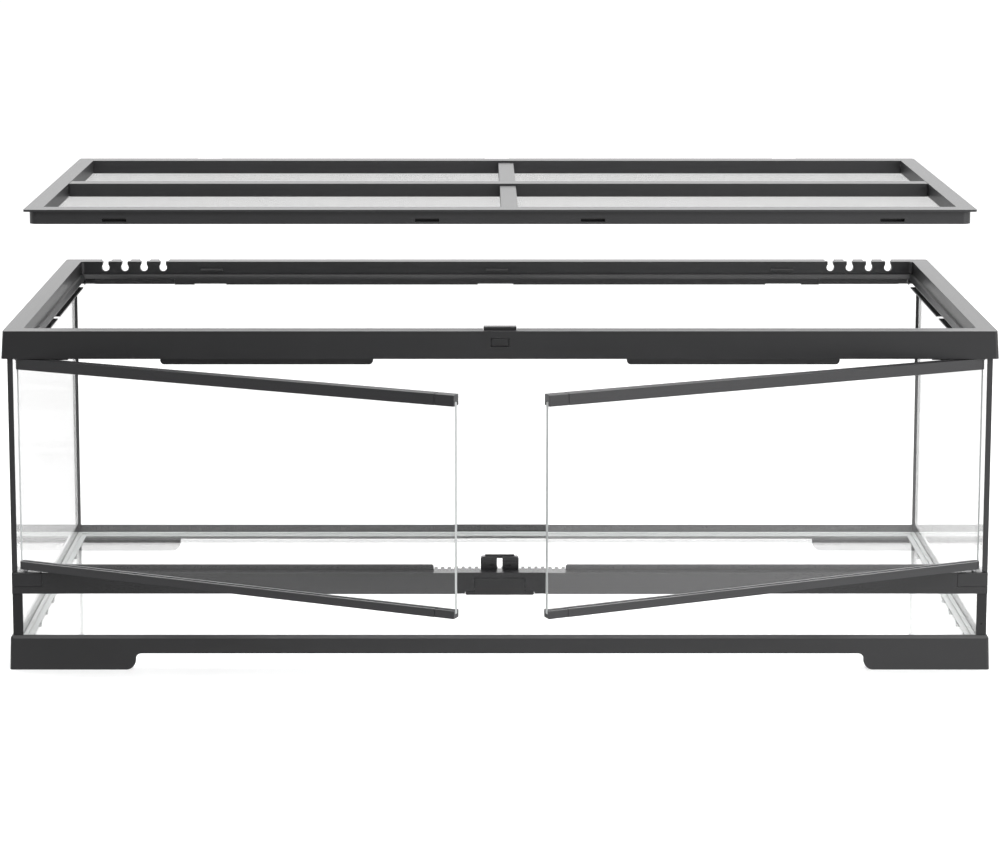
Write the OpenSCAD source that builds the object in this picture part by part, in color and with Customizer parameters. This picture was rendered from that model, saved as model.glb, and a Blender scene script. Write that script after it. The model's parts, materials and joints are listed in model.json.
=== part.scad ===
// Terrarium cabinet: a glass tank held by two black moulded frames, with a pair of
// hinged glass doors over a sill, a lift-off screen lid and closable cable notches.
// Millimetres. +X is right, +Y is back and +Z is up. The origin is on the floor,
// under the middle of the frames. At rest the doors stand ajar and the lid is lifted off.

/* [Cabinet] */
// Width of the moulded frames at the rim
frame_w = 901; // [760:1:1200]
// Depth of the moulded frames at the rim
frame_d = 450; // [380:1:600]
// Height from the floor to the rim
cabinet_h = 315.6; // [280:0.1:600]
// Thickness of the tank's panes
pane_t = 5; // [4:0.5:6]
// Distance from the frames' outer face in to the panes' outer face
pane_inset = 3.6; // [3.4:0.1:4.5]

/* [Base frame] */
// Height of the base frame's wall
base_h = 32.3; // [28:0.1:45]
// Wall of the base frame below the glass
base_wall = 4; // [3:0.1:6]
// Length of the base frame's feet along the front and the back
foot_len = 116; // [60:1:200]
// Height of the arches between the feet
arch_h = 15.2; // [10:0.1:20]
// Thickness of the ledge that the bottom pane lies on
ledge_t = 2.3; // [1.5:0.1:4]
// Width of the ledge that the bottom pane lies on
ledge_w = 10; // [8:0.5:20]

/* [Top frame] */
// Height of the top frame
top_h = 25.2; // [24:0.1:40]
// Width of the rim, seen from above
rim_w = 17; // [16:0.1:24]
// Wall of the top frame's moulding
rim_wall = 3; // [2:0.1:4]
// Depth of the lid's ledge below the rim
ledge_drop = 13.1; // [12:0.1:15]
// Reach of the lid hooks from the rim's back wall
hook_reach = 3; // [2:0.1:4]

/* [Sill] */
// Height from the floor to the underside of the sill
sill_z = 71.6; // [50:0.1:120]
// Height of the sill
sill_h = 19.9; // [19:0.1:30]
// Depth of the sill from front to back
sill_d = 23.4; // [22:0.1:30]
// Wall of the sill rail
sill_wall = 2.5; // [2:0.1:3]
// Height of the door stop ridges on the sill
ridge_h = 5; // [3:0.1:8]
// Pitch of the vent comb's teeth
comb_pitch = 6.1; // [5:0.1:12]
// Width of the slots between the comb's teeth
comb_slot = 3; // [2:0.1:4]

/* [Doors] */
// Angle that the doors stand open at rest
door_rest_angle = 24; // [0:1:80]
// Thickness of the door rails
rail_t = 10; // [9:0.1:10.5]
// Height of the doors' bottom rail
bottom_rail_h = 7.2; // [7:0.1:14]
// Height of the doors' top rail
top_rail_h = 9.9; // [7:0.1:14]
// Thickness of the door glass
door_glass_t = 4; // [3:0.1:5]
// Gap between the two closed doors
meeting_gap = 2.4; // [1:0.1:6]
// Diameter of the doors' hinge pins
hinge_pin_d = 4; // [3:0.1:4.5]
// Length of the striker caps at the doors' free ends
striker_len = 18.4; // [18:0.1:30]

/* [Lid] */
// Height that the lid is lifted above its seat at rest
lid_lift = 119.2; // [10:0.1:300]
// Height of the whole lid
lid_h = 13.7; // [8:0.1:14]
// Thickness of the lid's flange
flange_t = 2; // [1.5:0.1:3]
// Reach of the flange past the lid's body
flange_over = 4.4; // [3.5:0.1:4.8]
// Width of the lid's side rims
lid_side_w = 16; // [12:0.1:40]
// Width of the lid's front and back rims
lid_front_w = 21; // [14:0.1:40]
// Width of the lid's long bar
long_bar_w = 20; // [10:0.1:40]
// Width of the lid's cross bars
cross_bar_w = 15.5; // [8:0.1:40]
// Width of the gaps between the screen's wires
screen_gap = 33; // [20:0.1:60]
// Width of the screen's wires
screen_wire = 1; // [0.8:0.1:2]

/* [Lock, latch and cable slides] */
// Angle that the door lock turns through
lock_angle = 6; // [3:0.5:6]
// Width of the lock's lever
lever_w = 46; // [38:0.5:60]
// Width of the lid latch
latch_w = 30; // [20:0.5:50]
// Travel of the lid latch
latch_travel = 5.5; // [4:0.1:5.5]
// Diameter of the cable notches
notch_d = 8; // [5:0.1:9]
// Width of the slot from the rim into a cable notch
notch_slot = 5.8; // [4:0.1:7]
// Spacing of the cable notches
notch_pitch = 20; // [18:0.1:30]
// Number of cable notches on each side
notch_count = 4; // [1:1:6]

/* [Hidden] */

$fn = 48;

// Clearances and the overrun of every cut
fit_gap = 0.3;
pin_gap = 0.05;
over = 1;

// Frame outlines
half_w = frame_w / 2;
half_d = frame_d / 2;
front_y = -half_d;
base_draft = 0.9;
base_chamfer_w = 2;
base_chamfer_h = 3;
top_draft = 1.5;

// Panes
pane_out_x = half_w - pane_inset;
pane_out_y = half_d - pane_inset;
pane_in_x = pane_out_x - pane_t;
pane_in_y = pane_out_y - pane_t;
shelf_z = arch_h + ledge_t;
floor_z = shelf_z + pane_t;
top_z = cabinet_h - top_h;
pane_tuck = 9.6;
pane_top = top_z + pane_tuck;

// Base frame details
arch_r = 5;
foot_r = 9;
rib_t = 2;
rib_w = 7;
rib_pitch = 45;
rib_foot = 1;
rib_margin = 25;

// Seals
seal_w = 9;
seal_t = 1;
seal_rise_w = 4;
seal_rise = 3;
corner_seal = 3;
post_w = 9.3;
trim_t = 1.5;

// Top frame, with the lid's ledge, its slope and the lip below it
open_x = half_w - rim_w;
open_y = half_d - rim_w;
well_r = 4;
ledge_z = cabinet_h - ledge_drop;
seat_w = 2.5;
slope_w = 1.8;
slope_h = 4.3;
lip_x = open_x - seat_w - slope_w;
lip_y = open_y - seat_w - slope_w;
lip_top = ledge_z - slope_h;
lip_t = 2.5;
lip_h = 4.7;
lip_strip_h = 6.2;
lip_edge_t = 1.2;
side_recess = 6.5;
side_flange_t = 1.2;
side_gap = 18;
side_end_gap = 13.5;
web_z = cabinet_h - rim_wall;
back_strip_shares = [[-0.955, -0.699], [-0.626, -0.044], [0.038, 0.621], [0.704, 0.955]];

// Lid hooks on the rim's back wall
hook_w = 23;
hook_t = 2.5;
hook_rise = 3.5;
hook_slope = 1.5;
hook_z = ledge_z + hook_rise;
hook_shares = [-0.66, 0, 0.66];

// Door hinge line, door heights and door stops
rail_mid = 6.5;
end_gap = 2.2;
pin_x = pane_in_x - end_gap - rail_t / 2;
pin_y = front_y + rail_mid;
door_in_y = pin_y + rail_t / 2;
sill_top = sill_z + sill_h;
door_lift = 2.5;
door_z = sill_top + door_lift;
door_head_gap = 0.5;
door_top_z = top_z - door_head_gap;
stop_y = door_in_y + fit_gap;
stop_t = 2.5;
stop_drop = 7.4;
stop_r = 4;
stop_shares = [0.256, 0.686];
ridge_shares = [0.133, 0.91];
ridge_r = 2.4;

// Hinge blocks
hinge_len = 22.4;
bracket_len = 48.6;
bracket_drop = 3.4;
hinge_bore_h = 11.6;
hinge_pin_len = 14.3;
sill_end_len = 27.4;
sill_end_rise = 6.7;

// Sill rail
sill_inset = 0.6;
sill_front = front_y + sill_inset;
sill_back = sill_front + sill_d;
sill_in = 3.9;
groove_depth = 4.2;
sill_web = 2.2;
sill_floor_t = 2;
chamber_z = sill_z + groove_depth + sill_web + sill_floor_t;
comb_depth = 7;
comb_drop = 7;

// Door glass and rail grooves
glass_tuck = 3.5;
pin_tuck = 3.2;

// Door lock
lock_inset = 14;
lock_y = front_y + lock_inset;
lock_drop = 7.5;
lock_z = sill_top - lock_drop;
lock_pin_d = 3;
lock_pin_len = 46;
lug_in = 20.5;
lug_t = 3;
lug_w = 10;
hub_r = 3;
catch_in = 2.5;
catch_out = 17.5;
catch_lead = 0.6;
catch_t = 6.6;
catch_h = 11.5;
catch_front = lock_y - catch_lead;
catch_back = catch_front + catch_t;
catch_top = sill_top + catch_h;
nose_rise = 3.2;
nose_z = door_z + nose_rise;
nose_t = 1.8;
nose_reach = 1.6;
nose_in = 5;
nose_out = 15;
bridge_w = 27;
bridge_h = 3.3;
bridge_rise = 1.3;
bridge_t = 3;
catch_r = 2;
catch_window = 5;
catch_window_t = 2;
window_x = 7.5;
lever_t = 1.2;
lever_rise = 2;
lever_bottom = sill_z + lever_rise;
lever_drop = 5.2;
lever_top = sill_top - lever_drop;
lip_w = 63;
lip_drop = 1.2;
lip_r = 1.6;
arm_w = 14;
arm_h = 4;
arm_join = 6;
pocket_depth = 2.6;
pocket_rise = 1.9;
pocket_h = 4.2;

// Lid
lid_gap = 1.5;
lid_x = open_x - lid_gap;
lid_y = open_y - lid_gap;
lid_body_x = lid_x - flange_over;
lid_body_y = lid_y - flange_over;
flange_r = 3;
lid_body_r = 8;
lid_z = ledge_z + fit_gap + lid_lift;
lid_bottom = lid_z + flange_t - lid_h;
lid_open_x = lid_x - lid_side_w;
lid_open_y = lid_y - lid_front_w;
screen_t = 0.6;
screen_tuck = 4;
rabbet_h = screen_t + fit_gap;
bar_z = lid_bottom + rabbet_h;
cross_bar_x = 9;
cross_bar_sink = 2;
slot_w = 22;
slot_h = 2.8;
slot_deep = 8;
slot_drop = 8.1;
slot_shares = [-0.777, -0.147, 0.187, 0.79];

// Lid latch, deep enough to reach over the seated lid's flange once it has slid back
latch_inset = 7;
latch_front = front_y + latch_inset;
latch_reach = 3;
latch_t = latch_reach - lid_y - latch_front - latch_travel;
latch_rise = 2.8;
latch_lift = 3;
latch_z = ledge_z + latch_lift;
button_w = 16;
button_drop = 0.5;
button_z = ledge_z - button_drop;
button_h = 7;
button_r = 1.5;

// Cable notches and slides
notch_edge = 42.5;
notch_drop = 6.1;
notch_z = cabinet_h - notch_drop;
notch_clear = 1.3;
notch_outer_drop = 3;
notch_outlet_d = 9;
slide_travel = notch_pitch / 2;
window_margin = 1.4;
window_drop = 1.2;
slide_window = notch_d + window_margin;
slide_end = 10.5;
slide_t = 3;
slide_gap_y = 1;
slide_headroom = 0.8;
slide_top = web_z - slide_headroom;
slide_foot_rise = 2.2;
slide_foot_z = top_z + slide_foot_rise;
slide_foot_h = 5.3;
slide_lead = 12;
slide_lap = 4;
slide_in_x = notch_x(notch_count - 1) - slide_lead;
slide_out_x = notch_x(0) + slide_end;
pad_w = 16;
pad_h = 2.4;
pad_rise = 0.4;
pad_lift = 0.6;

black = [0.2, 0.2, 0.21];
dark = [0.13, 0.13, 0.14];
clear = [0.8, 0.9, 0.9, 0.35];
steel = [0.72, 0.72, 0.74];

// A box from its low corner to its high corner
module block(low, high) {
    translate(low) cube(high - low);
}

// A prism along Y or along X whose outline is drawn in its end view
module prism_y(length) {
    rotate([90, 0, 0]) linear_extrude(length, center = true) children();
}
module prism_x(length) {
    rotate([90, 0, 90]) linear_extrude(length, center = true) children();
}

// Half outline of a frame wall, mirrored to both sides
function mirrored(points) = concat(points, [for (i = [len(points) - 1:-1:0]) [-points[i][0], points[i][1]]]);

// Place of a cable notch, counted from the outer one
function notch_x(i) = half_w - notch_edge - i * notch_pitch;

// A block whose four sides follow one outline: points are [inset from the frame's size, height]
module drafted(points) {
    intersection() {
        prism_y(frame_d + 2 * half_w) polygon(mirrored([for (p = points) [half_w - p[0], p[1]]]));
        prism_x(frame_w + 2 * half_d) polygon(mirrored([for (p = points) [half_d - p[0], p[1]]]));
    }
}

// A centred rectangular shaft from one height to another
module shaft(x, y, low, high) {
    block([-x, -y, low], [x, y, high]);
}

// A shaft with rounded upright corners
module rounded_shaft(x, y, r, low, high) {
    translate([0, 0, low]) linear_extrude(high - low) {
        square([2 * (x - r), 2 * y], center = true);
        square([2 * x, 2 * (y - r)], center = true);
        for (side = [-1, 1], end = [-1, 1])
            translate([side * (x - r), end * (y - r)]) circle(r);
    }
}

module both_sides() {
    children();
    mirror([1, 0, 0]) children();
}

// Base frame

// Outline of the arch between two feet, with rounded top corners and flared feet
module arch_outline() {
    arch_x = half_w - foot_len;
    translate([-arch_x + arch_r, -over]) square([2 * (arch_x - arch_r), arch_h + over]);
    translate([-arch_x, -over]) square([2 * arch_x, arch_h - arch_r + over]);
    for (side = [-1, 1]) {
        translate([side * (arch_x - arch_r), arch_h - arch_r]) circle(arch_r);
        difference() {
            translate([side * (arch_x + foot_r / 2), (foot_r - over) / 2])
                square([foot_r, foot_r + over], center = true);
            translate([side * (arch_x + foot_r), foot_r]) circle(foot_r);
        }
    }
}

// Ribs under the ledge, along both side walls
module base_ribs() {
    wall_x = half_w - base_wall;
    reach = half_d - rib_margin;
    steps = floor(reach / rib_pitch);
    both_sides()
        for (i = [-steps:steps])
            block(
                [wall_x - rib_w, i * rib_pitch - rib_t / 2, rib_foot],
                [wall_x, i * rib_pitch + rib_t / 2, arch_h]
            );
}

module base_frame() {
    wall_x = half_w - base_wall;
    wall_y = half_d - base_wall;
    color(black) {
        difference() {
            drafted([
                [0, 0],
                [base_draft, base_h - base_chamfer_h],
                [base_draft + base_chamfer_w, base_h],
            ]);
            shaft(wall_x, wall_y, -over, arch_h);
            shaft(wall_x - ledge_w, wall_y - ledge_w, -over, base_h);
            shaft(pane_out_x + fit_gap, pane_out_y + fit_gap, shelf_z, base_h + over);
            prism_y(frame_d + 2 * over) arch_outline();
        }
        base_ribs();
    }
}

// Tank glass

module bottom_glass() {
    color(clear) shaft(pane_out_x, pane_out_y, shelf_z, floor_z);
}

module back_glass() {
    color(clear)
        block([-pane_in_x + fit_gap, pane_in_y, floor_z], [pane_in_x - fit_gap, pane_out_y, pane_top]);
}

module side_pane() {
    block([-pane_out_x, -pane_out_y, floor_z], [-pane_in_x, pane_out_y, pane_top]);
}

module left_glass() {
    color(clear) side_pane();
}

module right_glass() {
    color(clear) mirror([1, 0, 0]) side_pane();
}

module front_glass() {
    color(clear)
        block(
            [-pane_in_x + fit_gap, -pane_out_y, floor_z],
            [pane_in_x - fit_gap, -pane_in_y, sill_z + groove_depth - fit_gap]
        );
}

// Silicone seals and edge trims

module floor_seal() {
    color(clear) difference() {
        shaft(pane_in_x - fit_gap, pane_in_y - fit_gap, floor_z, floor_z + seal_rise);
        shaft(pane_in_x - seal_w, pane_in_y - seal_w, floor_z - over, floor_z + seal_rise + over);
        shaft(
            pane_in_x - seal_rise_w,
            pane_in_y - seal_rise_w,
            floor_z + seal_t,
            floor_z + seal_rise + over
        );
    }
}

module front_seal() {
    block(
        [-pane_out_x, -pane_out_y - trim_t, base_h],
        [-pane_out_x + post_w, -pane_out_y, sill_z - fit_gap]
    );
}

module front_seal_left() {
    color(dark) front_seal();
}

module front_seal_right() {
    color(dark) mirror([1, 0, 0]) front_seal();
}

// A three-sided bead in a back corner, from the floor seal up to the top frame's lip
module back_seal() {
    translate([-pane_in_x, pane_in_y, floor_z + seal_rise])
        linear_extrude(top_z - floor_z - seal_rise)
            polygon([[0, 0], [corner_seal, 0], [0, -corner_seal]]);
}

module back_seal_left() {
    color(dark) back_seal();
}

module back_seal_right() {
    color(dark) mirror([1, 0, 0]) back_seal();
}

module edge_trim() {
    block(
        [-pane_out_x, -pane_out_y - trim_t, sill_top + fit_gap],
        [-pane_in_x, -pane_out_y, top_z - fit_gap]
    );
}

module edge_trim_left() {
    color(dark) edge_trim();
}

module edge_trim_right() {
    color(dark) mirror([1, 0, 0]) edge_trim();
}

// Top frame

// The opening above the ledge, the ledge's slope and the way through below it
module lid_well() {
    rounded_shaft(open_x, open_y, well_r, ledge_z, cabinet_h + over);
    shaft(lip_x, lip_y, top_z - over, ledge_z + over);
    intersection() {
        prism_y(frame_d) slope_outline(open_x - seat_w, lip_x);
        prism_x(frame_w) slope_outline(open_y - seat_w, lip_y);
    }
}

module slope_outline(upper, lower) {
    polygon(mirrored([[lower, lip_top], [upper, ledge_z], [upper, ledge_z + over]]));
}

// The hollow under the rim, open from below, that takes the panes' top edges
module rim_channel() {
    wall = pane_inset - fit_gap;
    difference() {
        shaft(half_w - wall, half_d - wall, top_z - over, web_z);
        shaft(open_x + rim_wall, open_y + rim_wall, lip_top, cabinet_h);
        shaft(lip_x + side_recess + lip_t, lip_y + lip_t, top_z - 2 * over, ledge_z);
    }
}

// Everything of the lip that the moulding leaves out
module lip_cuts() {
    side = lip_x + side_recess + lip_t + over;
    end = lip_y + lip_t + over;
    low = lip_top - lip_strip_h;
    back_low = lip_top - lip_h;
    edge_low = lip_top - lip_edge_t;
    // The front lip is short, and so is the back lip between its strips
    block([-side, -end, top_z - over], [side, -lip_y, back_low]);
    block([-side, lip_y, top_z - over], [side, end, low]);
    difference() {
        block([-side, lip_y, low - over], [side, end, back_low]);
        for (strip = back_strip_shares)
            block(
                [strip[0] * half_w, lip_y - over, low - 2 * over],
                [strip[1] * half_w, end + over, lip_top]
            );
    }
    // Each side has a flange under a recess, with a gap half way and one at the back
    both_sides() {
        block([lip_x - over, -lip_y, top_z + side_flange_t], [lip_x + side_recess, lip_y, edge_low]);
        block([lip_x - over, -side_gap / 2, top_z - over], [side, side_gap / 2, edge_low]);
        block([lip_x - over, lip_y - side_end_gap, top_z - over], [side, lip_y, edge_low]);
    }
    // Bays in the back lip for the cable slides
    both_sides()
        block(
            [slide_in_x - fit_gap, lip_y - over, top_z - over],
            [slide_out_x + slide_travel + fit_gap, end, lip_top]
        );
}

module cable_notches() {
    both_sides()
        for (i = [0:notch_count - 1])
            translate([notch_x(i), half_d, notch_z]) {
                rotate([90, 0, 0]) cylinder(d = notch_d, h = 2 * rim_w + over, center = true);
                block([-notch_slot / 2, -rim_w - over, 0], [notch_slot / 2, rim_w, rim_w]);
                translate([0, 0, notch_clear - notch_outer_drop]) notch_outlet();
            }
}

// The wider way out of a notch, through the rim's outer wall
module notch_outlet() {
    rotate([90, 0, 0]) cylinder(r = notch_d / 2 + notch_clear, h = 2 * notch_outlet_d, center = true);
    block([-notch_d / 2 - notch_clear, -notch_outlet_d, 0], [notch_d / 2 + notch_clear, rim_w, rim_w]);
}

// The notch that the lid latch slides in and the window for its button
module latch_way() {
    side = latch_w / 2 + fit_gap;
    button_side = button_w / 2 + fit_gap;
    block([-side, latch_front - fit_gap, latch_z - fit_gap], [side, -open_y + over, cabinet_h + over]);
    block(
        [-button_side, front_y - over - top_draft, button_z - fit_gap],
        [button_side, latch_front, button_z + button_h + fit_gap]
    );
}

// One door stop: a plate that hangs from the rim's web, with rounded lower corners
module door_stop() {
    from = stop_shares[0] * half_w;
    to = stop_shares[1] * half_w;
    low = top_z - stop_drop;
    translate([0, stop_y + stop_t / 2, 0]) prism_y(stop_t) {
        translate([from, low + stop_r]) square([to - from, web_z + rim_wall / 2 - low - stop_r]);
        translate([from + stop_r, low]) square([to - from - 2 * stop_r, 2 * stop_r]);
        for (x = [from + stop_r, to - stop_r])
            translate([x, low + stop_r]) circle(stop_r);
    }
}

// Hooks with a sloped front edge, so that the lid's flange slips past them
module lid_hooks() {
    front = open_y - hook_reach;
    back = open_y + rim_wall / 2;
    top = hook_z + hook_t;
    for (share = hook_shares)
        translate([share * half_w, 0, 0]) prism_x(hook_w)
            polygon([
                [front, hook_z],
                [back, hook_z],
                [back, top],
                [front + hook_slope, top],
                [front, top - hook_slope],
            ]);
}

module top_frame() {
    color(black) {
        difference() {
            drafted([[-top_draft, top_z], [0, cabinet_h]]);
            lid_well();
            rim_channel();
            lip_cuts();
            cable_notches();
            latch_way();
        }
        lid_hooks();
        both_sides() door_stop();
    }
}

// Hinge blocks: the upper ones fill the rim's front corners, the lower ones the sill's ends

module hinge_bore(low, high) {
    translate([-pin_x, pin_y, low]) cylinder(d = hinge_pin_d + 2 * pin_gap, h = high - low);
}

module top_hinge() {
    outer = -pane_in_x + fit_gap;
    front = front_y + pane_inset;
    back = -open_y - rim_wall - fit_gap;
    difference() {
        union() {
            block([outer, front, top_z + fit_gap], [outer + hinge_len, back, web_z - fit_gap]);
            block([outer, stop_y, top_z - bracket_drop], [outer + bracket_len, back, ledge_z]);
        }
        hinge_bore(top_z - over, top_z + hinge_bore_h);
    }
}

module top_hinge_left() {
    color(black) top_hinge();
}

module top_hinge_right() {
    color(black) mirror([1, 0, 0]) top_hinge();
}

module sill_end() {
    inner = -pane_out_x + sill_end_len;
    low = sill_z + sill_end_rise;
    difference() {
        union() {
            block([-pane_out_x, sill_front, low], [inner, -pane_out_y - fit_gap, sill_top]);
            block([-pane_in_x + fit_gap, sill_front, low], [inner, sill_back, sill_top]);
        }
        hinge_bore(sill_top - hinge_bore_h, sill_top + over);
    }
}

module sill_end_left() {
    color(black) sill_end();
}

module sill_end_right() {
    color(black) mirror([1, 0, 0]) sill_end();
}

// Sill rail

// The rail's lower part, which clips on the front pane's top edge
module sill_skirt() {
    pane_front = -pane_out_y - fit_gap;
    pane_back = -pane_in_y + fit_gap;
    web_low = sill_z + groove_depth;
    web_high = web_low + sill_web;
    block([-pane_out_x, sill_front, sill_z], [pane_out_x, pane_front, web_high]);
    block(
        [-pane_in_x + fit_gap, pane_front, web_low],
        [pane_in_x - fit_gap, pane_back + sill_wall, web_high]
    );
    block([-pane_in_x + fit_gap, pane_back, sill_z], [pane_in_x - fit_gap, pane_back + sill_wall, web_high]);
}

// The hollow upper part between the two end blocks
module sill_box() {
    side = pane_out_x - sill_end_len - fit_gap;
    low = sill_z + groove_depth + sill_web;
    difference() {
        block([-side, sill_front, low], [side, sill_back, sill_top]);
        block(
            [-side - over, sill_front + sill_wall, chamber_z],
            [side + over, sill_back - sill_wall, sill_top - sill_wall]
        );
    }
}

// Slots in the sill's back edge
module comb_slots() {
    side = pane_out_x - sill_end_len - sill_in;
    count = floor(side / comb_pitch);
    for (i = [-count:count])
        block(
            [i * comb_pitch - comb_slot / 2, sill_back - comb_depth, sill_top - comb_drop],
            [i * comb_pitch + comb_slot / 2, sill_back + over, sill_top + over]
        );
}

// One door stop ridge on the sill, with its inner end rounded
module sill_ridge() {
    from = ridge_shares[0] * half_w;
    to = ridge_shares[1] * half_w;
    translate([0, stop_y + stop_t / 2, 0]) prism_y(stop_t) {
        translate([from, sill_top - sill_wall / 2]) square([to - from, ridge_h - ridge_r + sill_wall / 2]);
        translate([from + ridge_r, sill_top]) square([to - from - 2 * ridge_r, ridge_h]);
        for (x = [from + ridge_r, to - ridge_r])
            translate([x, sill_top + ridge_h - ridge_r]) circle(ridge_r);
    }
}

// Windows for the lever, its lip and the two catch blocks
module lock_ways() {
    lean = (sill_top - lock_z) * sin(lock_angle) + fit_gap;
    lever_side = lever_w / 2 + fit_gap;
    lip_side = lip_w / 2 + fit_gap;
    back = -pane_out_y - fit_gap + pin_gap;
    block([-lever_side, sill_front - over, sill_z - over], [lever_side, back, lever_top + fit_gap]);
    block([-lip_side, sill_front - over, sill_z - over], [lip_side, back, lever_bottom + fit_gap]);
    both_sides()
        block(
            [catch_in - fit_gap, catch_front - lean - fit_gap, chamber_z],
            [catch_out + fit_gap, catch_back + fit_gap, sill_top + over]
        );
}

// Lugs in the chamber that hold the lock's pin
module lock_lugs() {
    both_sides()
        block(
            [lug_in, lock_y - lug_w / 2, chamber_z - over],
            [lug_in + lug_t, lock_y + lug_w / 2, sill_top - sill_wall / 2]
        );
}

module sill_rail() {
    color(black) difference() {
        union() {
            sill_skirt();
            sill_box();
            both_sides() sill_ridge();
            lock_lugs();
        }
        comb_slots();
        lock_ways();
        translate([0, lock_y, lock_z]) rotate([0, 90, 0])
            cylinder(d = lock_pin_d + 2 * pin_gap, h = lock_pin_len + 2 * over, center = true);
    }
}

// Door lock: lever, catch and pin

module lock_pin() {
    color(steel) translate([0, lock_y, lock_z]) rotate([0, 90, 0])
        cylinder(d = lock_pin_d, h = lock_pin_len, center = true);
}

module lock_lever() {
    back = sill_front + lever_t;
    arm_back = lock_y - arm_join;
    color(black) {
        block([-lever_w / 2, sill_front, lever_bottom - over], [lever_w / 2, back, lever_top]);
        translate([0, sill_front + lever_t / 2, 0]) prism_y(lever_t) lever_lip_outline();
        block([-arm_w / 2, back - lever_t / 2, lock_z - arm_h / 2], [arm_w / 2, arm_back, lever_top]);
    }
}

// The lever's lower lip, with rounded lower corners
module lever_lip_outline() {
    low = sill_z - lip_drop;
    translate([-lip_w / 2, low + lip_r]) square([lip_w, lever_bottom - low - lip_r]);
    translate([-lip_w / 2 + lip_r, low]) square([lip_w - 2 * lip_r, lip_r + over]);
    for (side = [-1, 1])
        translate([side * (lip_w / 2 - lip_r), low + lip_r]) circle(lip_r);
}

// One catch block with a rounded outer corner, a small window in its front and its nose
module catch_block() {
    difference() {
        union() {
            block([catch_in, catch_front, lock_z], [catch_out - catch_r, catch_back, catch_top]);
            block([catch_in, catch_front, lock_z], [catch_out, catch_back, catch_top - catch_r]);
            translate([catch_out - catch_r, (catch_front + catch_back) / 2, catch_top - catch_r])
                rotate([90, 0, 0]) cylinder(r = catch_r, h = catch_t, center = true);
        }
        translate([window_x, catch_front, sill_top + ridge_h])
            cube([catch_window, 2 * catch_window_t, catch_window], center = true);
    }
    block([nose_in, catch_front - nose_reach, nose_z], [nose_out, catch_front + over, nose_z + nose_t]);
}

module lock_catch() {
    tongue_front = lock_y - arm_join;
    color(dark) difference() {
        union() {
            both_sides() catch_block();
            translate([0, lock_y, lock_z]) rotate([0, 90, 0])
                cylinder(r = hub_r, h = 2 * catch_out, center = true);
            block([-arm_w / 2, tongue_front, lock_z - arm_h / 2], [arm_w / 2, lock_y, lever_top]);
            block(
                [-bridge_w / 2, catch_back - bridge_t, catch_top + bridge_rise - bridge_h],
                [bridge_w / 2, catch_back, catch_top + bridge_rise]
            );
        }
        translate([0, lock_y, lock_z]) rotate([0, 90, 0])
            cylinder(d = lock_pin_d + 2 * pin_gap, h = 2 * (catch_out + over), center = true);
    }
}

// Doors, drawn closed on the left and then swung about the hinge pin

module on_left_door() {
    translate([-pin_x, pin_y, 0])
        rotate(-door_rest_angle)
            translate([pin_x, -pin_y, 0]) color(black) children();
}

module on_right_door() {
    mirror([1, 0, 0]) on_left_door() children();
}

module door_glass() {
    block(
        [
            -pin_x - rail_t / 2 + door_glass_t / 4,
            pin_y - door_glass_t / 2,
            door_z + bottom_rail_h - glass_tuck
        ],
        [-meeting_gap / 2, pin_y + door_glass_t / 2, door_top_z - top_rail_h + glass_tuck]
    );
}

// The space in a rail or a striker for the door glass
module glass_groove() {
    side = door_glass_t / 2 + fit_gap;
    block(
        [-pin_x - rail_t, pin_y - side, door_z + bottom_rail_h - glass_tuck - fit_gap],
        [over, pin_y + side, door_top_z - top_rail_h + glass_tuck + fit_gap]
    );
}

// A door rail with a round hinge end and a bore for its pin
module door_rail(low, high) {
    inner = -meeting_gap / 2 - striker_len - fit_gap;
    difference() {
        union() {
            block([-pin_x, pin_y - rail_t / 2, low], [inner, pin_y + rail_t / 2, high]);
            translate([-pin_x, pin_y, low]) cylinder(d = rail_t, h = high - low);
        }
        glass_groove();
        hinge_bore(low - over, high + over);
    }
}

module door_striker(low, high) {
    difference() {
        block(
            [-meeting_gap / 2 - striker_len, pin_y - rail_t / 2, low],
            [-meeting_gap / 2, pin_y + rail_t / 2, high]
        );
        glass_groove();
    }
}

module bottom_rail() {
    door_rail(door_z, door_z + bottom_rail_h);
}

module top_rail() {
    door_rail(door_top_z - top_rail_h, door_top_z);
}

// The bottom striker has the pocket that the lock's nose enters
module bottom_striker() {
    difference() {
        door_striker(door_z, door_z + bottom_rail_h);
        block(
            [-nose_out - over, door_in_y - pocket_depth, door_z + pocket_rise],
            [-nose_in + over, door_in_y + over, door_z + pocket_rise + pocket_h]
        );
    }
}

module top_striker() {
    door_striker(door_top_z - top_rail_h, door_top_z);
}

module hinge_pin(low) {
    translate([-pin_x, pin_y, low]) cylinder(d = hinge_pin_d, h = hinge_pin_len);
}

module bottom_pin() {
    hinge_pin(door_z + pin_tuck - hinge_pin_len);
}

module top_pin() {
    hinge_pin(door_top_z - pin_tuck);
}

module door_left_glass() {
    on_left_door() color(clear) door_glass();
}

module door_left_top_rail() {
    on_left_door() top_rail();
}

module door_left_bottom_rail() {
    on_left_door() bottom_rail();
}

module door_left_top_striker() {
    on_left_door() top_striker();
}

module door_left_bottom_striker() {
    on_left_door() bottom_striker();
}

module door_left_top_pin() {
    on_left_door() color(steel) top_pin();
}

module door_left_bottom_pin() {
    on_left_door() color(steel) bottom_pin();
}

module door_right_glass() {
    on_right_door() color(clear) door_glass();
}

module door_right_top_rail() {
    on_right_door() top_rail();
}

module door_right_bottom_rail() {
    on_right_door() bottom_rail();
}

module door_right_top_striker() {
    on_right_door() top_striker();
}

module door_right_bottom_striker() {
    on_right_door() bottom_striker();
}

module door_right_top_pin() {
    on_right_door() color(steel) top_pin();
}

module door_right_bottom_pin() {
    on_right_door() color(steel) bottom_pin();
}

// Lid

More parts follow.
